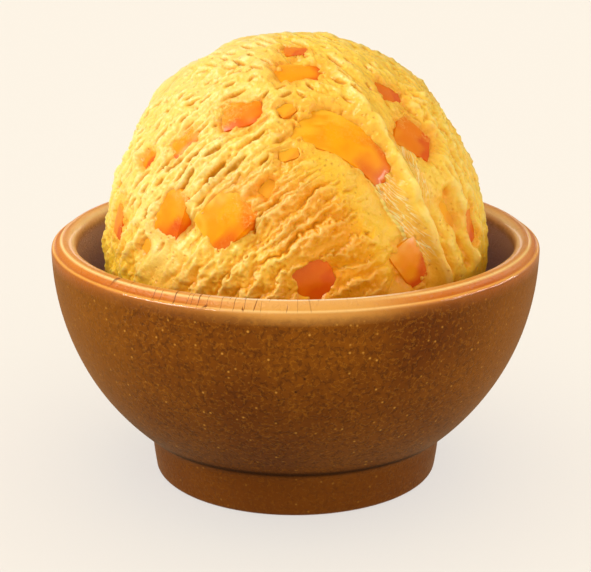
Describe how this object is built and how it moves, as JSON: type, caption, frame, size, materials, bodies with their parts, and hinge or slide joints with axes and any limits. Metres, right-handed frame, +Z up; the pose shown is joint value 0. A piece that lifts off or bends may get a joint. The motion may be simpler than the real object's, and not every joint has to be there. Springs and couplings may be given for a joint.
{
  "type": "bowl of ice cream",
  "caption": "One large scoop of mango ice cream with fruit chunks, resting in a small round stoneware bowl on a foot ring.",
  "frame": {"origin": "centre of the foot ring's underside, where the bowl stands", "axes": "+Z up through the middle of the bowl, -Y towards the side that the picture shows, +X to that picture's right"},
  "size_m": [0.09, 0.09, 0.0825],
  "materials": {
    "glaze": "gloss",
    "ice_cream": "satin",
    "fruit": "satin"
  },
  "bodies": {
    "root": {"bowl": "glaze", "ice_cream": "ice_cream", "fruit_top": "fruit", "fruit_crown": "fruit", "fruit_high_left": "fruit", "fruit_small_left": "fruit", "fruit_edge_left": "fruit", "fruit_lens_left": "fruit", "fruit_low_left": "fruit", "fruit_crumb_left": "fruit", "fruit_big_left": "fruit", "fruit_sliver": "fruit", "fruit_seam_crumb": "fruit", "fruit_fleck": "fruit", "fruit_great": "fruit", "fruit_high_right": "fruit", "fruit_frosted": "fruit", "fruit_groove_sliver": "fruit", "fruit_front": "fruit", "fruit_low_right": "fruit", "fruit_edge_right": "fruit", "fruit_side_right": "fruit", "fruit_back_right": "fruit", "fruit_back_high": "fruit", "fruit_back": "fruit", "fruit_back_left": "fruit", "fruit_side_back": "fruit", "fruit_side_left": "fruit"}
  },
  "joints": []
}
